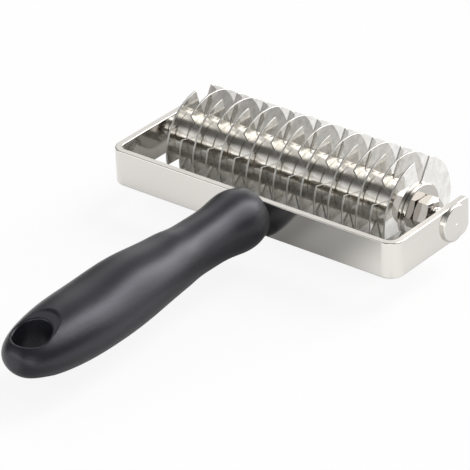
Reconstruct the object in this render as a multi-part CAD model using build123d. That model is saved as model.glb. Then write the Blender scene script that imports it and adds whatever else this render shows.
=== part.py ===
from build123d import *
import math
import os

# Lattice roller cutter. A bent steel bar carries a stack of notched discs that turns
# freely on a headed axle, and a moulded handle is screwed to the middle of the bar.
# Sizes are in millimetres and angles in degrees. X runs along the roller, +Y points
# away from the handle, +Z is up. The origin lies under the middle of the whole tool,
# level with the lowest point of the discs.

# Bent bar
frame_width = 146.0
arm_past_axle = 10.9
bar_height = 16.0
bar_thickness = 3.0
bend_radius = 6.3
arm_top_radius = 2.2
arm_foot_radius = 4.5
bar_edge_radius = 0.5
parallel_share = 0.9

# Roller: discs, the rings between them and where their axis lies on the bar
blade_pitch = 7.0
blade_radius = 22.75
blade_thickness = 0.8
blade_chamfer = 0.12
notch_count = 3
notch_angle = 27.0
notch_root_radius = 10.0
roller_turn = 8.2
axle_reach = 39.9
axle_height = 8.6
end_play = 0.8
end_play_share = -0.75
spacer_radius = 10.25
spacer_chamfer = 0.4
stack_clearance = 0.05

# Threaded sleeve that holds the stack, clamping washers and nuts
sleeve_radius = 4.0
sleeve_chamfer = 0.4
thread_stick_out = 2.0
washer_radius = 12.0
washer_thickness = 2.0
washer_edge_radius = 0.6
nut_across_flats = 13.0
nut_height = 6.5
nut_face_share = 0.94
nut_chamfer_angle = 30.0

# Axle: a rod with a low domed head outside the +X arm, peened over outside the other arm,
# and the collars that take up the room left between sleeve and arm
axle_head_radius = 8.1
axle_head_thickness = 1.8
axle_head_dome = 0.25
axle_head_edge_radius = 0.9
axle_radius = 2.5
peen_radius = 3.6
peen_height = 0.8
running_clearance = 0.05
seat_clearance = 0.02
collar_radius = 5.5
least_collar = 1.0
collar_chamfer = 0.3

# Handle screw and the threaded insert moulded into the grip
screw_radius = 3.0
screw_head_radius = 5.25
screw_head_height = 3.3
screw_dome_share = 0.45
screw_bulge_share = 0.72
screw_hole_clearance = 0.25
screw_engagement = 18.0
socket_across_flats = 4.0
socket_depth = 1.9
insert_radius = 4.5
insert_length = 22.0
insert_setback = 1.0
insert_flange_radius = 5.4
insert_flange_thickness = 1.2

# Grip
grip_length = 142.0
grip_half_width = 16.9
grip_butt_share = 0.78
butt_start_share = 0.7
butt_power = 2.0
butt_root = 3.0
butt_step_shares = (0.2, 0.4, 0.6, 0.76, 0.88, 0.95, 0.988)
hole_radius = 7.7
hole_lip_radius = 0.8
butt_wall = 3.95
dish_ledge = 0.65
dish_sweep = 3.0
dish_shoulder_radius = 1.5
dish_forward = 3.2
dish_depth = 1.37
dish_tilt = 17.0

# Sections of the grip from the bar to its widest place. Each row holds the distance from
# the bar as a share of the grip's length, the half width as a share of the widest, the
# height as a share of the width there, and the middle's height as a share of the bar's.
grip_section_shares = (
    (0.0, 0.676, 1.0, 0.494),
    (0.028, 0.741, 1.0, 0.498),
    (0.063, 0.772, 0.995, 0.503),
    (0.113, 0.727, 0.99, 0.509),
    (0.183, 0.684, 0.97, 0.522),
    (0.268, 0.693, 0.945, 0.531),
    (0.366, 0.782, 0.92, 0.544),
    (0.479, 0.888, 0.89, 0.544),
    (0.606, 0.973, 0.84, 0.509),
)
butt_lift_share = 0.484

# One length by which every cutting body runs past what it cuts
overrun = 5.0

# Number of discs: as many as fit between the arms with the shortest collars
arm_outside = frame_width / 2
arm_inside = arm_outside - bar_thickness
clamp_length = washer_thickness + nut_height + thread_stick_out
disc_room = 2 * (arm_inside - least_collar - end_play - clamp_length) - blade_thickness
blade_count = math.floor(disc_room / blade_pitch) + 1

# Places that follow from the sizes above
arm_length = axle_reach + arm_past_axle
middle_x = (peen_height - axle_head_thickness) / 2
bar_front = (grip_length - axle_reach - blade_radius) / 2
axle_y = bar_front + axle_reach
axle_z = blade_radius
bar_bottom = axle_z - axle_height
screw_z = bar_bottom + bar_height / 2
spacer_length = blade_pitch - blade_thickness
stack_half = (blade_count - 1) * blade_pitch / 2 + blade_thickness / 2
sleeve_half = stack_half + clamp_length
collar_length = arm_inside - end_play - sleeve_half
hole_from_end = hole_radius + butt_wall
hole_y = bar_front - grip_length + hole_from_end

NODES = {}


def keep(name, shape):
    """Store one finished node under its name."""
    NODES[name] = shape


def on_axle(shape, x=0, mirrored=False):
    """Move a piece built about the X axis at the origin onto the roller's axis."""
    if mirrored:
        shape = mirror(shape, about=Plane.YZ)
        x = -x
    return Pos(middle_x + x, axle_y, axle_z) * shape


def on_bar(shape, y=0):
    """Move a piece built about the X axis at the origin onto the handle's axis, its +X end outwards."""
    return Pos(middle_x, bar_front + y, screw_z) * Rot(0, 0, 90) * shape


def turned(*points):
    """Revolve a closed outline of (x, radius) points about the X axis."""
    return revolve(make_face(Polyline(*points, close=True)), axis=Axis.X)


def ring(outer, inner, length, soften, amount):
    """Make a tube from x = 0 to its length; soften breaks its outer corners by a chamfer or a fillet."""
    outline = Pos(0, inner) * Rectangle(length, outer - inner, align=(Align.MIN, Align.MIN))
    return revolve(soften(outline.vertices().group_by(Axis.Y)[-1], amount), axis=Axis.X)


def hex_bar(across_flats, length):
    """Make a hexagonal bar along X from x = 0, with a flat on top."""
    outline = RegularPolygon(across_flats / 2, 6, major_radius=False)
    return extrude(Plane.YZ * outline, amount=length)


def grip_section(distance, half_width, half_height, middle):
    """Make one elliptical cross section of the grip."""
    place = Plane(origin=(middle_x, bar_front - distance, middle), x_dir=(1, 0, 0), z_dir=(0, -1, 0))
    return place * Ellipse(half_width, half_height)


def u_frame():
    """Bend the flat bar into a U: round bends, rounded arm ends, axle holes and screw hole."""
    outside = Rectangle(frame_width, arm_length, align=(Align.CENTER, Align.MIN))
    outside = fillet(outside.vertices().group_by(Axis.Y)[0], bend_radius)
    inside = Pos(0, bar_thickness) * Rectangle(2 * arm_inside, arm_length, align=(Align.CENTER, Align.MIN))
    inside = fillet(inside.vertices().group_by(Axis.Y)[0], bend_radius - bar_thickness)
    bar = extrude(outside - inside, amount=bar_height)
    side = Rectangle(arm_length, bar_height, align=(Align.MIN, Align.MIN))
    side = fillet(side.vertices().group_by(Axis.X)[-1].sort_by(Axis.Y)[-1], arm_top_radius)
    side = fillet(side.vertices().group_by(Axis.X)[-1].sort_by(Axis.Y)[0], arm_foot_radius)
    bar = bar & extrude(Plane.YZ * side, amount=arm_outside, both=True)
    bar = fillet(bar_rims(bar), bar_edge_radius)
    axle_hole = turned((-arm_outside - overrun, 0), (-arm_outside - overrun, axle_radius + seat_clearance),
                       (arm_outside + overrun, axle_radius + seat_clearance), (arm_outside + overrun, 0))
    screw_hole = turned((-overrun, 0), (-overrun, screw_radius + screw_hole_clearance),
                        (bar_thickness + overrun, screw_radius + screw_hole_clearance),
                        (bar_thickness + overrun, 0))
    return Pos(middle_x, bar_front, bar_bottom) * bar - on_axle(axle_hole) - on_bar(screw_hole)


def bar_rims(bar):
    """Pick the long edges of the bent bar, without the short ones across its thickness."""
    picked = []
    for edge in bar.edges():
        way = edge.tangent_at(0.5)
        at_bend = edge.center().Y < bend_radius + bar_edge_radius
        short = edge.length < bar_thickness + bar_edge_radius
        across_end = short and not at_bend and abs(way.X) > parallel_share
        up_the_bend = at_bend and abs(way.Z) > parallel_share
        if not across_end and not up_the_bend:
            picked.append(edge)
    return picked


def blade(turn):
    """Make one disc, its rim broken by fine chamfers, with V notches."""
    disc = ring(blade_radius, sleeve_radius + stack_clearance, blade_thickness, chamfer, blade_chamfer)
    disc = Pos(-blade_thickness / 2) * disc
    half_mouth = blade_radius * math.sin(math.radians(notch_angle / 2))
    rise = blade_radius * math.cos(math.radians(notch_angle / 2)) - notch_root_radius
    top = notch_root_radius + rise + overrun
    half_top = half_mouth * (rise + overrun) / rise
    vee = make_face(Polyline((0, notch_root_radius), (half_top, top), (-half_top, top), close=True))
    cutter = extrude(Plane.YZ * vee, amount=blade_thickness, both=True)
    for step in range(notch_count):
        disc = disc - Rot(-turn - step * 360 / notch_count) * cutter
    return disc


def spacer():
    """Make one ring that holds two discs apart."""
    return ring(spacer_radius, sleeve_radius + stack_clearance, spacer_length, chamfer, spacer_chamfer)


def roller_sleeve():
    """Make the threaded sleeve through the stack, bored to run on the axle."""
    bore = axle_radius + running_clearance
    tip = sleeve_radius - sleeve_chamfer
    waist = sleeve_half - sleeve_chamfer
    return turned((-sleeve_half, bore), (-sleeve_half, tip), (-waist, sleeve_radius),
                  (waist, sleeve_radius), (sleeve_half, tip), (sleeve_half, bore))


def clamp_washer():
    """Make the large washer that closes one end of the stack."""
    return ring(washer_radius, sleeve_radius + stack_clearance, washer_thickness, fillet, washer_edge_radius)


def hex_nut():
    """Make a hexagonal nut, its corners turned down at both faces."""
    corner = nut_across_flats / math.sqrt(3)
    face = nut_face_share * nut_across_flats / 2
    depth = (corner - face) * math.tan(math.radians(nut_chamfer_angle))
    bore = sleeve_radius + stack_clearance
    blank = turned((0, bore), (0, face), (depth, corner), (nut_height - depth, corner),
                   (nut_height, face), (nut_height, bore))
    return blank & hex_bar(nut_across_flats, nut_height)


def axle_head():
    """Make the axle's head from x = 0: a rounded edge and a face that rises a little to its middle."""
    side = axle_head_thickness - axle_head_dome
    outline = make_face([Polyline((axle_head_thickness, 0), (0, 0), (0, axle_head_radius),
                                  (side, axle_head_radius)),
                         TangentArc((axle_head_thickness, 0), (side, axle_head_radius), tangent=(0, 1))])
    edge = outline.vertices().sort_by_distance((side, axle_head_radius))[0]
    return revolve(fillet(edge, axle_head_edge_radius), axis=Axis.X)


def roller_axle():
    """Make the axle from its peened end at -X to its domed head at +X."""
    peen_end = -arm_outside - peen_height
    rod = turned((peen_end, 0), (peen_end, axle_radius), (-arm_outside, peen_radius),
                 (-arm_outside, axle_radius), (arm_outside, axle_radius), (arm_outside, 0))
    return rod + Pos(arm_outside) * axle_head()


def collar():
    """Make the collar between one end of the sleeve and the arm."""
    return ring(collar_radius, axle_radius + seat_clearance, collar_length, chamfer, collar_chamfer)


def handle_screw():
    """Make the low button-head screw, head inside the U, driven by a hexagonal socket."""
    flat = screw_head_radius * screw_dome_share
    shank = turned((-bar_thickness - screw_engagement, 0), (-bar_thickness - screw_engagement, screw_radius),
                   (0, screw_radius), (0, 0))
    dome = make_face([Line((0, 0), (0, screw_head_radius)),
                      ThreePointArc((0, screw_head_radius),
                                    (screw_head_height * screw_bulge_share, (screw_head_radius + flat) / 2),
                                    (screw_head_height, flat)),
                      Line((screw_head_height, flat), (screw_head_height, 0)),
                      Line((screw_head_height, 0), (0, 0))])
    socket = Pos(screw_head_height - socket_depth) * hex_bar(socket_across_flats, socket_depth + overrun)
    screw = shank + revolve(dome, axis=Axis.X) - socket
    return on_bar(screw, bar_thickness)


def handle_insert():
    """Make the threaded insert in the grip, with a flange near the bar."""
    body = turned((0, screw_radius), (0, insert_flange_radius), (insert_flange_thickness, insert_flange_radius),
                  (insert_flange_thickness, insert_radius), (insert_length, insert_radius),
                  (insert_length, screw_radius))
    return on_bar(mirror(body, about=Plane.YZ), -insert_setback)


def insert_pocket():
    """Make the room in the grip that the insert and the screw's end fill."""
    start = -overrun
    flange_end = insert_setback + insert_flange_thickness
    floor = insert_setback + insert_length
    room = turned((start, 0), (start, insert_flange_radius), (flange_end, insert_flange_radius),
                  (flange_end, insert_radius), (floor, insert_radius), (floor, 0))
    return on_bar(mirror(room, about=Plane.YZ))


def butt_share(step):
    """Give the grip's half width at a step of the butt as a share of its widest."""
    return (1 - step ** butt_power) ** (1 / butt_root)


def dish_cutter():
    """Make the body that scoops out the dish: a flat floor that sweeps up to an upright wall."""
    floor = hole_radius + dish_ledge
    wall = floor + dish_sweep
    top = dish_sweep + overrun
    outline = make_face([Line((0, 0), (floor, 0)),
                         TangentArc((floor, 0), (wall, dish_sweep), tangent=(1, 0)),
                         Polyline((wall, dish_sweep), (wall, top), (0, top), (0, 0))])
    return revolve(Plane.XZ * outline, axis=Axis.Z)


def with_hanging_hole(grip):
    """Cut the upright hole near the butt, with a soft dish round it above and below and a rounded lip."""
    place = Pos(middle_x, hole_y, bar_bottom + butt_lift_share * bar_height)
    step = 1 - hole_from_end / (grip_length * (1 - butt_start_share))
    surface = grip_half_width * grip_butt_share * butt_share(step)
    dish = Pos(0, dish_forward, surface - dish_depth) * Rot(dish_tilt) * dish_cutter()
    upper = place * dish
    lower = place * mirror(dish, about=Plane.XY)
    dished = grip - upper - lower
    dished = fillet(new_edges(grip, upper, lower, combined=dished), dish_shoulder_radius)
    hole = place * Cylinder(hole_radius, 2 * (grip_half_width + overrun))
    holed = dished - hole
    return fillet(new_edges(dished, hole, combined=holed), hole_lip_radius)


def handle_grip():
    """Loft the moulded grip from its neck to its rounded butt, then cut hole and pocket."""
    sections = []
    for along, width, height, lift in grip_section_shares:
        half_width = width * grip_half_width
        middle = bar_bottom + lift * bar_height
        sections.append(grip_section(along * grip_length, half_width, height * half_width, middle))
    middle = bar_bottom + butt_lift_share * bar_height
    for step in (0,) + butt_step_shares:
        along = butt_start_share + (1 - butt_start_share) * step
        half_width = grip_half_width * butt_share(step)
        sections.append(grip_section(along * grip_length, half_width, grip_butt_share * half_width, middle))
    sections.append(Vertex(middle_x, bar_front - grip_length, middle))
    return with_hanging_hole(loft(sections)) - insert_pocket()


def build_frame():
    """Place every piece that stands still."""
    keep("u_frame", u_frame())
    keep("roller_axle", on_axle(roller_axle()))
    place = arm_inside - collar_length
    keep("axle_collars", Compound([on_axle(collar(), place), on_axle(collar(), place, mirrored=True)]))
    keep("handle_screw", handle_screw())
    keep("handle_insert", handle_insert())
    keep("handle_grip", handle_grip())


def build_roller():
    """Place every piece that turns: sleeve, discs, rings, washers and nuts."""
    middle = end_play_share * end_play
    first = middle - (blade_count - 1) * blade_pitch / 2
    keep("roller_sleeve", on_axle(roller_sleeve(), middle))
    for number in range(blade_count):
        stagger = (number % 2) * 180 / notch_count
        keep(f"blade_{number + 1:02d}", on_axle(blade(roller_turn + stagger), first + number * blade_pitch))
    for number in range(blade_count - 1):
        place = first + blade_thickness / 2 + number * blade_pitch
        keep(f"spacer_{number + 1:02d}", on_axle(spacer(), place))
    washer = clamp_washer()
    nut = hex_nut()
    nut_place = stack_half + washer_thickness
    keep("clamp_washers", Compound([on_axle(washer, stack_half + middle),
                                    on_axle(washer, stack_half - middle, mirrored=True)]))
    keep("clamp_nuts", Compound([on_axle(nut, nut_place + middle),
                                 on_axle(nut, nut_place - middle, mirrored=True)]))


build_frame()
build_roller()
os.makedirs("parts", exist_ok=True)
for node_name, node_shape in NODES.items():
    export_step(node_shape, f"parts/{node_name}.step")
print(len(NODES), "nodes written")
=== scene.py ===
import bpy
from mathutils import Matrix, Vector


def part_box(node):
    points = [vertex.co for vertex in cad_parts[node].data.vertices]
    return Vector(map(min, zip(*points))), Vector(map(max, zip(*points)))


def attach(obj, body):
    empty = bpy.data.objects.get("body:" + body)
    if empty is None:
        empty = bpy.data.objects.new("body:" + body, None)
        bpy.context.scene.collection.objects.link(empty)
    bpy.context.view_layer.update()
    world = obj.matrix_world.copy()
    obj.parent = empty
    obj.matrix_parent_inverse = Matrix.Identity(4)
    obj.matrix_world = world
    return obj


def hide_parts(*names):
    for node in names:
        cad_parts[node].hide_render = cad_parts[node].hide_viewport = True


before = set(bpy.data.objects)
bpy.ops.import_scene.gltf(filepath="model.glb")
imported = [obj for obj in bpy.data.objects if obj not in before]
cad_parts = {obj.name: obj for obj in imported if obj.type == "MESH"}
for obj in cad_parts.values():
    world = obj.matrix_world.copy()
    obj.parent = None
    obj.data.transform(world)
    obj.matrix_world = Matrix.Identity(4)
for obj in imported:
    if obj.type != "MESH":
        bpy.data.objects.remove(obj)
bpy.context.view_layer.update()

import math

import bmesh
import bpy
from bpy.props import FloatProperty, FloatVectorProperty, IntProperty, PointerProperty
from bpy.types import Operator, Panel, PropertyGroup
from mathutils import Quaternion, Vector

bl_info = {
    "name": "Lattice roller cutter",
    "version": (1, 0, 0),
    "blender": (4, 5, 0),
    "location": "3D View > Sidebar > Roller cutter",
    "description": "Finishes and fine forms of a hand roller that cuts lattice slits in dough",
    "category": "Object",
}

MM = 0.001
WHITE = (1.0, 1.0, 1.0, 1.0)

BLADES = sorted(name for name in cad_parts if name.startswith("blade_"))
RINGS = sorted(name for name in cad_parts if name.startswith("spacer_"))

# The Mix node's sockets, whose names repeat: the share of its second value, then both values and
# the result, for numbers and for colours.
MIX_SHARE = 0
NUMBER_A, NUMBER_B, NUMBER_OUT = 2, 3, 0
COLOUR_A, COLOUR_B, COLOUR_OUT = 6, 7, 2

# Levels that a value passes from and to where it fades in, and where it fades out.
FADE_IN = (0.0, 1.0)
FADE_OUT = (1.0, 0.0)

# Lines left by a grinding belt or a lathe tool are drawn this many times longer than wide, by a
# noise of this detail and roughness.
LINE_STRETCH = 60
STEEL_LINES = (3.0, 0.6)
BRASS_LINES = (2.0, 0.5)

# How squarely a surface faces up or down where the bar's edge begins and where it is all edge, and
# how squarely it faces sideways where a disc's edge ends and where it is all face.
BAR_EDGE = (0.75, 0.95)
DISC_FACE = (0.6, 0.9)

# Values of the haze's noise between which a disc's face passes from clear steel to haze.
HAZE_PATCHES = (0.35, 0.65)

# Share of the pitch that is flat at the thread's crests, and as much at its roots.
THREAD_FLAT = 0.12

# Where the painted light of the paper, as metal mirrors it, changes: from left to right in front of
# the tool and behind it, and from the front of the tool to the back.
FRONT_PAINTED_LIGHT = (-120 * MM, 20 * MM)
BACK_PAINTED_LIGHT = (-80 * MM, 50 * MM)
FRONT_TO_BACK = (40 * MM, 100 * MM)

# The tool's painted shadow on that paper: its middle along Y, how far it goes on to each side along
# X, how far from these it begins and ends to fade, and the share of light left at its darkest.
TOOL_MIDDLE = 62 * MM
TOOL_REACH = 45 * MM
TOOL_PAINTED_SHADOW = (25 * MM, 50 * MM)
TOOL_PAINTED_SHADOW_LIGHT = 0.25

# The grip's painted shadow on the paper in front: its middle along X, how far from it the shadow
# begins and ends to fade, and the share of light left at its darkest.
GRIP_MIDDLE = 10 * MM
GRIP_PAINTED_SHADOW = (10 * MM, 42 * MM)
GRIP_PAINTED_SHADOW_LIGHT = 0.15

# Soft boxes of the studio as the tool sees them. Each has its edges round the roller's axis, in
# degrees from straight overhead towards the grip, how far these fade, its edges along the axis as
# the sine of the angle to the tool's right, how far those fade, and its strength beside white.
SOFT_BOXES = (
    (-110, -5, 15, 0.42, 0.72, 0.10, 2.65),  # behind, to the right
    (-95, -12, 14, 0.12, 0.42, 0.10, 6.00),  # behind, narrow, for the long highlight on the grip
    (-110, -5, 15, -0.70, -0.42, 0.12, 1.00),  # behind, to the left
    (-110, -20, 14, -0.42, 0.12, 0.12, 0.40),  # behind, the weak middle
    (47, 110, 18, -0.80, -0.20, 0.15, 0.95),  # in front, to the left
    (47, 110, 18, 0.20, 0.80, 0.15, 0.95),  # in front, to the right
    (76, 110, 8, -0.80, 0.80, 0.10, 1.50),  # in front, low, right across
)

# Width of the camera's sensor in millimetres, as Blender counts it.
SENSOR_WIDTH = 36.0


def linear(colour):
    """Turn an sRGB hex colour into the linear values that the shaders take, by sRGB's own curve."""
    channels = [int(colour[i:i + 2], 16) / 255 for i in (1, 3, 5)]
    return [c / 12.92 if c <= 0.04045 else ((c + 0.055) / 1.055) ** 2.4 for c in channels]


def colour_property(name, description, colour):
    """Declare a colour that the user can pick, from its sRGB hex value."""
    return FloatVectorProperty(name=name, description=description, subtype="COLOR", size=3,
                               min=0.0, max=1.0, default=linear(colour))


def length_property(name, description, length):
    """Declare a length, in metres."""
    return FloatProperty(name=name, description=description, unit="LENGTH", default=length)


def angle_property(name, description, degrees):
    """Declare an angle, from its value in degrees."""
    return FloatProperty(name=name, description=description, subtype="ANGLE",
                         default=math.radians(degrees))


def share_property(name, description, share):
    """Declare a share between none and all."""
    return FloatProperty(name=name, description=description, subtype="FACTOR", min=0.0, max=1.0,
                         default=share)


def pair_property(name, description, pair):
    """Declare a pair of values that a finish or a light goes between."""
    return FloatVectorProperty(name=name, description=description, size=2, min=0.0, default=pair)


class CutterFinish(PropertyGroup):
    """Colours of the finishes, and how rough each is at its smoothest and its roughest."""
    bar_steel: colour_property(
        "Bar steel", "Ground stainless of the bent bar and the axle", "#DAD7D2")
    bar_edge: colour_property(
        "Bar edge", "Sheared and deburred narrow edges of the bar", "#DAD6D0")
    disc_steel: colour_property(
        "Disc steel", "Polished stainless strip of the notched discs", "#F2F1EF")
    disc_haze: colour_property(
        "Disc haze", "Faint haze of handling and polish on the discs", "#E0DEDA")
    disc_edge: colour_property(
        "Disc edge", "Sheared and tumbled edges of the discs", "#C4C2BE")
    ring_steel: colour_property(
        "Ring steel", "Turned stainless of the rings and collars", "#DEDCD8")
    fastener_zinc: colour_property(
        "Fastener plating", "Bright zinc on nuts, washers, sleeve and screw", "#BFBBB6")
    insert_brass: colour_property(
        "Insert brass", "Turned brass of the insert in the grip", "#D9B36A")
    grip_black: colour_property(
        "Grip plastic", "Moulded polypropylene of the grip", "#1B1C20")
    grip_sheen: colour_property(
        "Grip sheen", "Cool sheen of the grip's moulded skin", "#F6F3FF")
    bar_roughness: pair_property(
        "Bar roughness", "Roughness between and on the grinding lines", (0.08, 0.16))
    bar_edge_roughness: share_property(
        "Bar edge roughness", "Roughness of the bar's narrow edges", 0.36)
    disc_roughness: pair_property(
        "Disc roughness", "Roughness of clear and of hazy mirror polish", (0.02, 0.06))
    disc_edge_roughness: share_property(
        "Disc edge roughness", "Roughness of the discs' tumbled edges", 0.6)
    ring_roughness: pair_property(
        "Ring roughness", "Roughness between and on the tool marks", (0.12, 0.2))
    fastener_roughness: pair_property(
        "Fastener roughness", "Roughness of clear and of cloudy plating", (0.05, 0.13))
    insert_roughness: pair_property(
        "Insert roughness", "Roughness between and on the tool marks", (0.15, 0.3))
    grip_roughness: pair_property(
        "Grip roughness", "Roughness of rubbed and of fresh skin", (0.29, 0.37))


class CutterSizes(PropertyGroup):
    """Sizes of the sleeve's thread, and of the marks and patches in the finishes."""
    thread_pitch: length_property(
        "Thread pitch", "Pitch of the sleeve's thread", 1.25 * MM)
    thread_depth: length_property(
        "Thread depth", "Depth of the sleeve's thread", 0.6 * MM)
    thread_length: length_property(
        "Thread length", "Length of thread at each end of the sleeve", 12.0 * MM)
    thread_chamfer: length_property(
        "Thread chamfer", "Chamfer on the thread at each end of the sleeve", 0.4 * MM)
    sleeve_bore: length_property(
        "Sleeve bore", "Diameter of the bore that runs on the axle", 5.1 * MM)
    turn_steps: IntProperty(
        name="Turn steps", description="Steps of the thread round one turn", min=3, default=72)
    pitch_steps: IntProperty(
        name="Pitch steps", description="Steps of the thread along one pitch", min=1, default=10)
    grind_lines: length_property(
        "Grinding lines", "Spacing of the bar's grinding lines", 0.4 * MM)
    grind_depth: length_property(
        "Grinding depth", "Depth of the bar's grinding lines", 0.05 * MM)
    lathe_lines: length_property(
        "Lathe lines", "Spacing of the tool marks on the rings and the insert", 0.35 * MM)
    lathe_depth: length_property(
        "Lathe depth", "Depth of the tool marks on the rings", 0.05 * MM)
    haze_patch: length_property(
        "Haze patch", "Width of the patches of haze on the discs", 4.0 * MM)
    zinc_cloud: length_property(
        "Zinc cloud", "Width of the clouds in the plating", 2.0 * MM)
    grip_grain: length_property(
        "Grip grain", "Grain of the spark-eroded mould of the grip", 0.6 * MM)
    grip_grain_depth: length_property(
        "Grip grain depth", "Depth of the grip's grain", 0.1 * MM)
    grip_wear: length_property(
        "Grip wear", "Width of the rubbed patches on the grip", 18.0 * MM)


class CutterStage(PropertyGroup):
    """Floor, light and camera."""
    floor_white: colour_property(
        "Floor", "Paper under the tool", "#F4F4F3")
    floor_size: length_property(
        "Floor size", "Length of the floor's sides", 6.0)
    floor_glow_seen: share_property(
        "Floor's white, seen", "Share of plain white in the floor that the camera sees", 0.88)
    # Share of the floor's painted glow, with its painted light and painted shadow, that metal
    # mirrors.
    floor_painted_glow_mirrored: share_property(
        "Floor's white, mirrored", "Share of plain light in the floor that metal mirrors", 0.5)
    # Painted light: the strength of the paper's glow in the metal, left and right, in front of and
    # behind the tool.
    floor_painted_front: pair_property(
        "Floor's light, front", "Plain light mirrored in front of the tool, left and right",
        (1.15, 1.4))
    floor_painted_back: pair_property(
        "Floor's light, back", "Plain light mirrored behind the tool, left and right",
        (0.05, 1.1))
    room_glow: FloatProperty(
        name="Room glow", description="Light from the whole room", min=0.0, default=0.20)
    mirror_bounces: IntProperty(
        name="Mirror bounces", min=0, default=12,
        description="Reflections followed between the discs, which face each other")
    camera_turn: angle_property(
        "Camera turn", "Camera's direction round the tool from -Y", 39.6659)
    camera_lift: angle_property(
        "Camera lift", "Camera's height above the horizon as an angle", 29.2732)
    camera_roll: angle_property(
        "Camera roll", "Camera's tilt about its own line of sight", -2.3927)
    camera_distance: length_property(
        "Camera distance", "From the aim point to the camera", 1.32757)
    camera_aim: FloatVectorProperty(
        name="Camera aim", description="Point at the middle of the image", size=3, unit="LENGTH",
        default=(0.008769, 0.019874, 0.02415))
    camera_lens: FloatProperty(
        name="Lens", description="Focal length", unit="CAMERA", default=255.9)


def add(tree, kind, settings, inputs):
    """Add one node: its settings by name, its inputs as values or as sockets to link.

    An input is given by its name, or by its place where names repeat.
    """
    node = tree.nodes.new(kind)
    for name, value in settings.items():
        setattr(node, name, value)
    for name, value in inputs.items():
        if isinstance(value, bpy.types.NodeSocket):
            tree.links.new(value, node.inputs[name])
        else:
            node.inputs[name].default_value = value
    return node


def opaque(colour):
    """Give a colour its full alpha."""
    return (*colour, 1.0)


def empty_material(name):
    """Start a material, and give it with its empty node tree."""
    material = bpy.data.materials.new(name)
    material.use_nodes = True
    material.node_tree.nodes.clear()
    return material, material.node_tree


def shade_surface(tree, inputs):
    """End a material with the shader of its surface."""
    shader = add(tree, "ShaderNodeBsdfPrincipled", {}, inputs)
    add(tree, "ShaderNodeOutputMaterial", {}, {"Surface": shader.outputs["BSDF"]})


def machined_lines(tree, place, across, spacing, texture):
    """Draw the fine lines of a belt or a lathe tool, which follow each other along one axis."""
    scale = [1 / spacing if axis == across else 1 / (spacing * LINE_STRETCH) for axis in "XYZ"]
    detail, roughness = texture
    stretched = add(tree, "ShaderNodeMapping", {},
                    {"Vector": place.outputs["Object"], "Scale": scale})
    lines = add(tree, "ShaderNodeTexNoise", {},
                {"Vector": stretched.outputs["Vector"], "Scale": 1.0, "Detail": detail,
                 "Roughness": roughness})
    return lines.outputs["Fac"]


def edge_share(tree, place, axis, between, levels):
    """Tell a piece's edges from its faces by how squarely the surface faces along an axis."""
    normal = add(tree, "ShaderNodeSeparateXYZ", {}, {"Vector": place.outputs["Normal"]})
    squarely = add(tree, "ShaderNodeMath", {"operation": "ABSOLUTE"}, {0: normal.outputs[axis]})
    share = add(tree, "ShaderNodeMapRange", {},
                {"Value": squarely.outputs["Value"], "From Min": between[0],
                 "From Max": between[1], "To Min": levels[0], "To Max": levels[1]})
    return share.outputs["Result"]


def satin_ground_stainless(finish, sizes):
    """Stainless flat bar, its faces ground lengthwise with a fine belt and then buffed.

    The belt's lines run along the bar, so reflections blur a little across them and the faces
    look softly satin. The narrow edges were only sheared and deburred, and stay duller. Real
    320 grit lines are about 0.05 mm apart, drawn coarser to show.
    """
    material, tree = empty_material("satin_ground_stainless")
    place = add(tree, "ShaderNodeTexCoord", {}, {})
    lines = machined_lines(tree, place, "Z", sizes.grind_lines, STEEL_LINES)
    edge = edge_share(tree, place, "Z", BAR_EDGE, FADE_IN)
    smooth, dull = finish.bar_roughness
    buffed = add(tree, "ShaderNodeMapRange", {}, {"Value": lines, "To Min": smooth, "To Max": dull})
    rough = add(tree, "ShaderNodeMix", {"data_type": "FLOAT"},
                {MIX_SHARE: edge, NUMBER_A: buffed.outputs["Result"],
                 NUMBER_B: finish.bar_edge_roughness})
    colour = add(tree, "ShaderNodeMix", {"data_type": "RGBA"},
                 {MIX_SHARE: edge, COLOUR_A: opaque(finish.bar_steel),
                  COLOUR_B: opaque(finish.bar_edge)})
    bump = add(tree, "ShaderNodeBump", {},
               {"Height": lines, "Strength": 0.06, "Distance": sizes.grind_depth})
    shade_surface(tree, {"Base Color": colour.outputs[COLOUR_OUT], "Metallic": 1.0,
                         "Roughness": rough.outputs[NUMBER_OUT], "Normal": bump.outputs["Normal"]})
    return material


def mirror_polished_strip(finish, sizes):
    """Cold-rolled stainless strip, stamped and then polished to a mirror on its faces.

    The discs show each other and the white room in their faces, with only a faint haze of
    polishing marks. Their sheared edges were only tumbled, and stay duller and darker.
    """
    material, tree = empty_material("mirror_polished_strip")
    place = add(tree, "ShaderNodeTexCoord", {}, {})
    haze = add(tree, "ShaderNodeTexNoise", {},
               {"Vector": place.outputs["Object"], "Scale": 1 / sizes.haze_patch, "Detail": 4.0,
                "Roughness": 0.65})
    edge = edge_share(tree, place, "X", DISC_FACE, FADE_OUT)
    smooth, dull = finish.disc_roughness
    polished = add(tree, "ShaderNodeMapRange", {},
                   {"Value": haze.outputs["Fac"], "To Min": smooth, "To Max": dull})
    rough = add(tree, "ShaderNodeMix", {"data_type": "FLOAT"},
                {MIX_SHARE: edge, NUMBER_A: polished.outputs["Result"],
                 NUMBER_B: finish.disc_edge_roughness})
    patches = add(tree, "ShaderNodeMapRange", {},
                  {"Value": haze.outputs["Fac"], "From Min": HAZE_PATCHES[0],
                   "From Max": HAZE_PATCHES[1]})
    face = add(tree, "ShaderNodeMix", {"data_type": "RGBA"},
               {MIX_SHARE: patches.outputs["Result"], COLOUR_A: opaque(finish.disc_steel),
                COLOUR_B: opaque(finish.disc_haze)})
    colour = add(tree, "ShaderNodeMix", {"data_type": "RGBA"},
                 {MIX_SHARE: edge, COLOUR_A: face.outputs[COLOUR_OUT],
                  COLOUR_B: opaque(finish.disc_edge)})
    shade_surface(tree, {"Base Color": colour.outputs[COLOUR_OUT], "Metallic": 1.0,
                         "Roughness": rough.outputs[NUMBER_OUT]})
    return material


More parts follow.
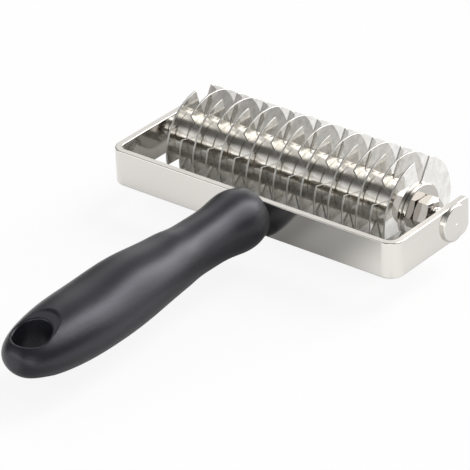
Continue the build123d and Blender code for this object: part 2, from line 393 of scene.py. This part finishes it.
def turned_stainless_rod(finish, sizes):
    """Stainless rod turned on a lathe.

    The tool leaves fine circles round the axis, so the rings shine in bands that run along the
    roller. Real feed marks are about 0.1 mm apart, drawn coarser to show.
    """
    material, tree = empty_material("turned_stainless_rod")
    place = add(tree, "ShaderNodeTexCoord", {}, {})
    lines = machined_lines(tree, place, "X", sizes.lathe_lines, STEEL_LINES)
    smooth, dull = finish.ring_roughness
    rough = add(tree, "ShaderNodeMapRange", {}, {"Value": lines, "To Min": smooth, "To Max": dull})
    bump = add(tree, "ShaderNodeBump", {},
               {"Height": lines, "Strength": 0.1, "Distance": sizes.lathe_depth})
    shade_surface(tree, {"Base Color": opaque(finish.ring_steel), "Metallic": 1.0,
                         "Roughness": rough.outputs["Result"], "Normal": bump.outputs["Normal"]})
    return material


def bright_zinc_plate(finish, sizes):
    """Steel fasteners with bright zinc plating.

    The plating levels the metal, so the flats mirror the room with a slight cloudiness.
    """
    material, tree = empty_material("bright_zinc_plate")
    place = add(tree, "ShaderNodeTexCoord", {}, {})
    clouds = add(tree, "ShaderNodeTexNoise", {},
                 {"Vector": place.outputs["Object"], "Scale": 1 / sizes.zinc_cloud, "Detail": 4.0,
                  "Roughness": 0.6})
    smooth, dull = finish.fastener_roughness
    rough = add(tree, "ShaderNodeMapRange", {},
                {"Value": clouds.outputs["Fac"], "To Min": smooth, "To Max": dull})
    shade_surface(tree, {"Base Color": opaque(finish.fastener_zinc), "Metallic": 1.0,
                         "Roughness": rough.outputs["Result"]})
    return material


def turned_brass(finish, sizes):
    """Brass rod turned on a lathe: yellow, with soft bands."""
    material, tree = empty_material("turned_brass")
    place = add(tree, "ShaderNodeTexCoord", {}, {})
    lines = machined_lines(tree, place, "Y", sizes.lathe_lines, BRASS_LINES)
    smooth, dull = finish.insert_roughness
    rough = add(tree, "ShaderNodeMapRange", {}, {"Value": lines, "To Min": smooth, "To Max": dull})
    shade_surface(tree, {"Base Color": opaque(finish.insert_brass), "Metallic": 1.0,
                         "Roughness": rough.outputs["Result"]})
    return material


def moulded_polypropylene(finish, sizes):
    """Black polypropylene, moulded in a spark-eroded cavity.

    The cavity's fine grain breaks the gloss into broad soft highlights. The real grain is about
    0.1 mm, drawn coarser to show.
    """
    material, tree = empty_material("moulded_polypropylene")
    place = add(tree, "ShaderNodeTexCoord", {}, {})
    grain = add(tree, "ShaderNodeTexNoise", {},
                {"Vector": place.outputs["Object"], "Scale": 1 / sizes.grip_grain, "Detail": 2.0})
    wear = add(tree, "ShaderNodeTexNoise", {},
               {"Vector": place.outputs["Object"], "Scale": 1 / sizes.grip_wear, "Detail": 2.0})
    smooth, dull = finish.grip_roughness
    rough = add(tree, "ShaderNodeMapRange", {},
                {"Value": wear.outputs["Fac"], "To Min": smooth, "To Max": dull})
    bump = add(tree, "ShaderNodeBump", {},
               {"Height": grain.outputs["Fac"], "Strength": 0.6,
                "Distance": sizes.grip_grain_depth})
    shade_surface(tree, {"Base Color": opaque(finish.grip_black), "IOR": 1.5,
                         "Specular Tint": opaque(finish.grip_sheen),
                         "Roughness": rough.outputs["Result"], "Normal": bump.outputs["Normal"]})
    return material


def dress(names, material):
    """Give CAD nodes a finish through their material slots."""
    for name in names:
        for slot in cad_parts[name].material_slots:
            slot.material = material


class CUTTER_OT_bar(Operator):
    """Finish the bent bar and the axle with ground stainless"""
    bl_idname = "cutter.bar"
    bl_label = "Bar and axle"

    def execute(self, context):
        scene = context.scene
        dress(["u_frame", "roller_axle"],
              satin_ground_stainless(scene.cutter_finish, scene.cutter_sizes))
        return {"FINISHED"}


class CUTTER_OT_discs(Operator):
    """Finish the notched discs with mirror-polished strip"""
    bl_idname = "cutter.discs"
    bl_label = "Notched discs"

    def execute(self, context):
        scene = context.scene
        dress(BLADES, mirror_polished_strip(scene.cutter_finish, scene.cutter_sizes))
        return {"FINISHED"}


class CUTTER_OT_rings(Operator):
    """Finish the rings between the discs and the axle's collars with turned stainless"""
    bl_idname = "cutter.rings"
    bl_label = "Rings and collars"

    def execute(self, context):
        scene = context.scene
        dress(RINGS + ["axle_collars"],
              turned_stainless_rod(scene.cutter_finish, scene.cutter_sizes))
        return {"FINISHED"}


def thread_radius(sizes, outer, x, turn):
    """Give the radius of the thread at a place along and round the sleeve."""
    share = (x / sizes.thread_pitch - turn / (2 * math.pi)) % 1.0
    ridge = 1 - abs(2 * share - 1)
    height = min(max((ridge - THREAD_FLAT) / (1 - 2 * THREAD_FLAT), 0.0), 1.0)
    return outer - sizes.thread_depth * (1 - height)


def sleeve_circles(sizes, left, right, outer, turns):
    """Give circles of radii along the sleeve, to the right over the thread and back in the bore."""
    step = sizes.thread_pitch / sizes.pitch_steps
    count = math.ceil(sizes.thread_length / step)
    stations = [left + i * step for i in range(count + 1)]
    stations += [right - (count - i) * step for i in range(count + 1)]
    circles = []
    for x in stations:
        chamfered = outer - sizes.thread_chamfer + min(x - left, right - x)
        radii = [min(thread_radius(sizes, outer, x, turn), chamfered) for turn in turns]
        circles.append((x, radii))
    return circles + [(x, [sizes.sleeve_bore / 2] * len(turns)) for x in (right, left)]


def threaded_sleeve(sizes):
    """Build the sleeve with a real thread at both ends, inside the plain solid's outline."""
    low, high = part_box("roller_sleeve")
    axis_y, axis_z = (low.y + high.y) / 2, (low.z + high.z) / 2
    turns = [2 * math.pi * k / sizes.turn_steps for k in range(sizes.turn_steps)]
    mesh = bmesh.new()
    rows = []
    for x, radii in sleeve_circles(sizes, low.x, high.x, (high.z - low.z) / 2, turns):
        row = []
        for turn, radius in zip(turns, radii):
            y, z = axis_y + radius * math.sin(turn), axis_z + radius * math.cos(turn)
            row.append(mesh.verts.new((x, y, z)))
        rows.append(row)
    for first, second in zip(rows, rows[1:] + rows[:1]):
        for k in range(len(turns)):
            following = (k + 1) % len(turns)
            mesh.faces.new((first[k], first[following], second[following], second[k]))
    bmesh.ops.recalc_face_normals(mesh, faces=mesh.faces)
    data = bpy.data.meshes.new("threaded_sleeve")
    mesh.to_mesh(data)
    mesh.free()
    piece = bpy.data.objects.new("threaded_sleeve", data)
    bpy.context.scene.collection.objects.link(piece)
    return piece


class CUTTER_OT_fasteners(Operator):
    """Cut the sleeve's thread, and finish the fasteners with zinc and the insert with brass"""
    bl_idname = "cutter.fasteners"
    bl_label = "Sleeve, nuts, washers, screw and insert"

    def execute(self, context):
        finish, sizes = context.scene.cutter_finish, context.scene.cutter_sizes
        zinc = bright_zinc_plate(finish, sizes)
        dress(["clamp_washers", "clamp_nuts", "handle_screw", "roller_sleeve"], zinc)
        dress(["handle_insert"], turned_brass(finish, sizes))
        sleeve = threaded_sleeve(sizes)
        sleeve.data.materials.append(zinc)
        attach(sleeve, "roller")
        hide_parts("roller_sleeve")
        return {"FINISHED"}


class CUTTER_OT_grip(Operator):
    """Finish the grip with moulded polypropylene"""
    bl_idname = "cutter.grip"
    bl_label = "Grip"

    def execute(self, context):
        scene = context.scene
        dress(["handle_grip"], moulded_polypropylene(scene.cutter_finish, scene.cutter_sizes))
        return {"FINISHED"}


def painted_paper_light(tree, stage):
    """Painted light of the paper as metal mirrors it: brighter to the right, with painted shadow
    under the tool and the grip.
    """
    place = add(tree, "ShaderNodeTexCoord", {}, {})
    place = add(tree, "ShaderNodeSeparateXYZ", {}, {"Vector": place.outputs["Object"]})
    x, y = place.outputs["X"], place.outputs["Y"]

    # How far a place on the paper is from the grip's middle and, both ways, from the tool's.
    distances = []
    for value, middle in ((x, GRIP_MIDDLE), (x, 0.0), (y, TOOL_MIDDLE)):
        offset = add(tree, "ShaderNodeMath", {"operation": "SUBTRACT"}, {0: value, 1: middle})
        length = add(tree, "ShaderNodeMath", {"operation": "ABSOLUTE"},
                     {0: offset.outputs["Value"]})
        distances.append(length.outputs["Value"])
    from_grip, aside, across = distances
    past_reach = add(tree, "ShaderNodeMath", {"operation": "SUBTRACT"}, {0: aside, 1: TOOL_REACH})
    from_tool = add(tree, "ShaderNodeMath", {"operation": "MAXIMUM"},
                    {0: past_reach.outputs["Value"], 1: across})

    # Painted light in front and behind, the share of the painted light behind, and what each
    # painted shadow leaves.
    fades = []
    for value, between, levels in (
            (x, FRONT_PAINTED_LIGHT, stage.floor_painted_front),
            (x, BACK_PAINTED_LIGHT, stage.floor_painted_back),
            (y, FRONT_TO_BACK, FADE_IN),
            (from_grip, GRIP_PAINTED_SHADOW, (GRIP_PAINTED_SHADOW_LIGHT, 1.0)),
            (from_tool.outputs["Value"], TOOL_PAINTED_SHADOW, (TOOL_PAINTED_SHADOW_LIGHT, 1.0))):
        fade = add(tree, "ShaderNodeMapRange", {"interpolation_type": "SMOOTHSTEP"},
                   {"Value": value, "From Min": between[0], "From Max": between[1],
                    "To Min": levels[0], "To Max": levels[1]})
        fades.append(fade.outputs["Result"])
    front, back, far, painted_grip_shadow, painted_tool_shadow = fades
    # The grip's painted shadow darkens the glow in front.
    front = add(tree, "ShaderNodeMath", {"operation": "MULTIPLY"}, {0: front, 1: painted_grip_shadow})
    light = add(tree, "ShaderNodeMix", {"data_type": "FLOAT"},
                {MIX_SHARE: far, NUMBER_A: front.outputs["Value"], NUMBER_B: back})
    # The tool's painted shadow darkens the glow under it.
    painted_light_and_shadow = add(tree, "ShaderNodeMath", {"operation": "MULTIPLY"},
                 {0: light.outputs[NUMBER_OUT], 1: painted_tool_shadow})
    return painted_light_and_shadow.outputs["Value"]


def white_paper(stage):
    """Paper sweep under the tool: white to the camera; in the metal, really lit paper mixed with a
    painted glow.
    """
    material, tree = empty_material("white_paper")
    path = add(tree, "ShaderNodeLightPath", {}, {}).outputs
    mirrored = add(tree, "ShaderNodeMath", {"operation": "MAXIMUM"},
                   {0: path["Is Glossy Ray"], 1: path["Is Transmission Ray"]})
    in_mirrors = add(tree, "ShaderNodeMath", {"operation": "MULTIPLY"},
                     {0: mirrored.outputs["Value"], 1: stage.floor_painted_glow_mirrored})
    share = add(tree, "ShaderNodeMath", {"operation": "MULTIPLY_ADD"},
                {0: path["Is Camera Ray"], 1: stage.floor_glow_seen,
                 2: in_mirrors.outputs["Value"]})
    # The glow's strength in the metal is painted light, brighter to the right, with painted shadow
    # under the tool and grip.
    strength = add(tree, "ShaderNodeMix", {"data_type": "FLOAT"},
                   {MIX_SHARE: path["Is Camera Ray"], NUMBER_A: painted_paper_light(tree, stage),
                    NUMBER_B: 1.0})
    paper = add(tree, "ShaderNodeBsdfDiffuse", {}, {"Color": opaque(stage.floor_white)})
    glow = add(tree, "ShaderNodeEmission", {},
               {"Color": WHITE, "Strength": strength.outputs[NUMBER_OUT]})
    mixed = add(tree, "ShaderNodeMixShader", {},
                {0: share.outputs["Value"], 1: paper.outputs["BSDF"], 2: glow.outputs["Emission"]})
    add(tree, "ShaderNodeOutputMaterial", {}, {"Surface": mixed.outputs["Shader"]})
    return material


def floor_plane(stage):
    """Lay the floor under the tool."""
    half = stage.floor_size / 2
    corners = [(-half, -half, 0), (half, -half, 0), (half, half, 0), (-half, half, 0)]
    data = bpy.data.meshes.new("floor")
    data.from_pydata(corners, [], [(0, 1, 2, 3)])
    data.materials.append(white_paper(stage))
    floor = bpy.data.objects.new("floor", data)
    bpy.context.scene.collection.objects.link(floor)


def soft_box(tree, turn, side, box):
    """Make one soft box of light in the room, from the directions round and along the axis."""
    back, front, turn_fade, left, right, side_fade, light = box
    back, front, turn_fade = math.radians(back), math.radians(front), math.radians(turn_fade)
    for value, edge, reach, levels in (
            (turn, back, turn_fade, FADE_IN), (turn, front, turn_fade, FADE_OUT),
            (side, left, side_fade, FADE_IN), (side, right, side_fade, FADE_OUT)):
        share = add(tree, "ShaderNodeMapRange", {"interpolation_type": "SMOOTHSTEP"},
                    {"Value": value, "From Min": edge - reach, "From Max": edge + reach,
                     "To Min": levels[0], "To Max": levels[1]})
        light = add(tree, "ShaderNodeMath", {"operation": "MULTIPLY"},
                    {0: light, 1: share.outputs["Result"]}).outputs["Value"]
    return light


def white_room(stage):
    """Light from all round: white to the camera, a pale studio with soft boxes to the surfaces."""
    world = bpy.data.worlds.new("white_room")
    world.use_nodes = True
    tree = world.node_tree
    tree.nodes.clear()
    path = add(tree, "ShaderNodeLightPath", {}, {})
    way = add(tree, "ShaderNodeTexCoord", {}, {})
    way = add(tree, "ShaderNodeSeparateXYZ", {}, {"Vector": way.outputs["Generated"]}).outputs
    front = add(tree, "ShaderNodeMath", {"operation": "MULTIPLY"}, {0: way["Y"], 1: -1.0})
    turn = add(tree, "ShaderNodeMath", {"operation": "ARCTAN2"},
               {0: front.outputs["Value"], 1: way["Z"]})
    total = stage.room_glow
    for box in SOFT_BOXES:
        light = soft_box(tree, turn.outputs["Value"], way["X"], box)
        total = add(tree, "ShaderNodeMath", {"operation": "ADD"},
                    {0: light, 1: total}).outputs["Value"]
    studio = add(tree, "ShaderNodeBackground", {}, {"Color": WHITE, "Strength": total})
    white = add(tree, "ShaderNodeBackground", {}, {"Color": WHITE, "Strength": 1.0})
    mixed = add(tree, "ShaderNodeMixShader", {},
                {0: path.outputs["Is Camera Ray"], 1: studio.outputs["Background"],
                 2: white.outputs["Background"]})
    add(tree, "ShaderNodeOutputWorld", {}, {"Surface": mixed.outputs["Shader"]})
    bpy.context.scene.world = world


def studio_camera(stage):
    """Stand the camera where the photograph was taken from."""
    turn, lift = stage.camera_turn, stage.camera_lift
    level = math.cos(lift)
    back = Vector((math.sin(turn) * level, -math.cos(turn) * level, math.sin(lift)))
    data = bpy.data.cameras.new("studio_camera")
    data.sensor_width = SENSOR_WIDTH
    data.lens = stage.camera_lens
    camera = bpy.data.objects.new("studio_camera", data)
    camera.location = Vector(stage.camera_aim) + back * stage.camera_distance
    camera.rotation_mode = "QUATERNION"
    camera.rotation_quaternion = (back.to_track_quat("Z", "Y")
                                  @ Quaternion((0, 0, 1), stage.camera_roll))
    bpy.context.scene.collection.objects.link(camera)
    bpy.context.scene.camera = camera


class CUTTER_OT_stage(Operator):
    """Set the floor, the soft light and the camera"""
    bl_idname = "cutter.stage"
    bl_label = "Floor, light and camera"

    def execute(self, context):
        scene = context.scene
        floor_plane(scene.cutter_stage)
        white_room(scene.cutter_stage)
        studio_camera(scene.cutter_stage)
        scene.view_settings.view_transform = "Standard"
        scene.cycles.glossy_bounces = scene.cutter_stage.mirror_bounces
        return {"FINISHED"}


GROUPS = {"cutter_finish": CutterFinish, "cutter_sizes": CutterSizes, "cutter_stage": CutterStage}
OPERATORS = (CUTTER_OT_stage, CUTTER_OT_bar, CUTTER_OT_discs, CUTTER_OT_rings, CUTTER_OT_fasteners,
             CUTTER_OT_grip)


class CUTTER_PT_panel(Panel):
    """Lists the cutter's pieces and their values"""
    bl_label = "Lattice roller cutter"
    bl_idname = "CUTTER_PT_panel"
    bl_space_type = "VIEW_3D"
    bl_region_type = "UI"
    bl_category = "Roller cutter"

    def draw(self, context):
        for operator in OPERATORS:
            self.layout.operator(operator.bl_idname)
        for group_name in GROUPS:
            group = getattr(context.scene, group_name)
            box = self.layout.box()
            for name in group.bl_rna.properties.keys():
                if name not in ("rna_type", "name"):
                    box.prop(group, name)


CLASSES = (*GROUPS.values(), *OPERATORS, CUTTER_PT_panel)


def register():
    """Register the classes and hang their values on the scene."""
    for cls in CLASSES:
        bpy.utils.register_class(cls)
    for name, group in GROUPS.items():
        setattr(bpy.types.Scene, name, PointerProperty(type=group))


def unregister():
    """Take the values and the classes away again."""
    for name in GROUPS:
        delattr(bpy.types.Scene, name)
    for cls in reversed(CLASSES):
        bpy.utils.unregister_class(cls)


def main():
    """Make the stage and every piece."""
    register()
    bpy.ops.cutter.stage()
    bpy.ops.cutter.bar()
    bpy.ops.cutter.discs()
    bpy.ops.cutter.rings()
    bpy.ops.cutter.fasteners()
    bpy.ops.cutter.grip()


if __name__ == "__main__":
    main()
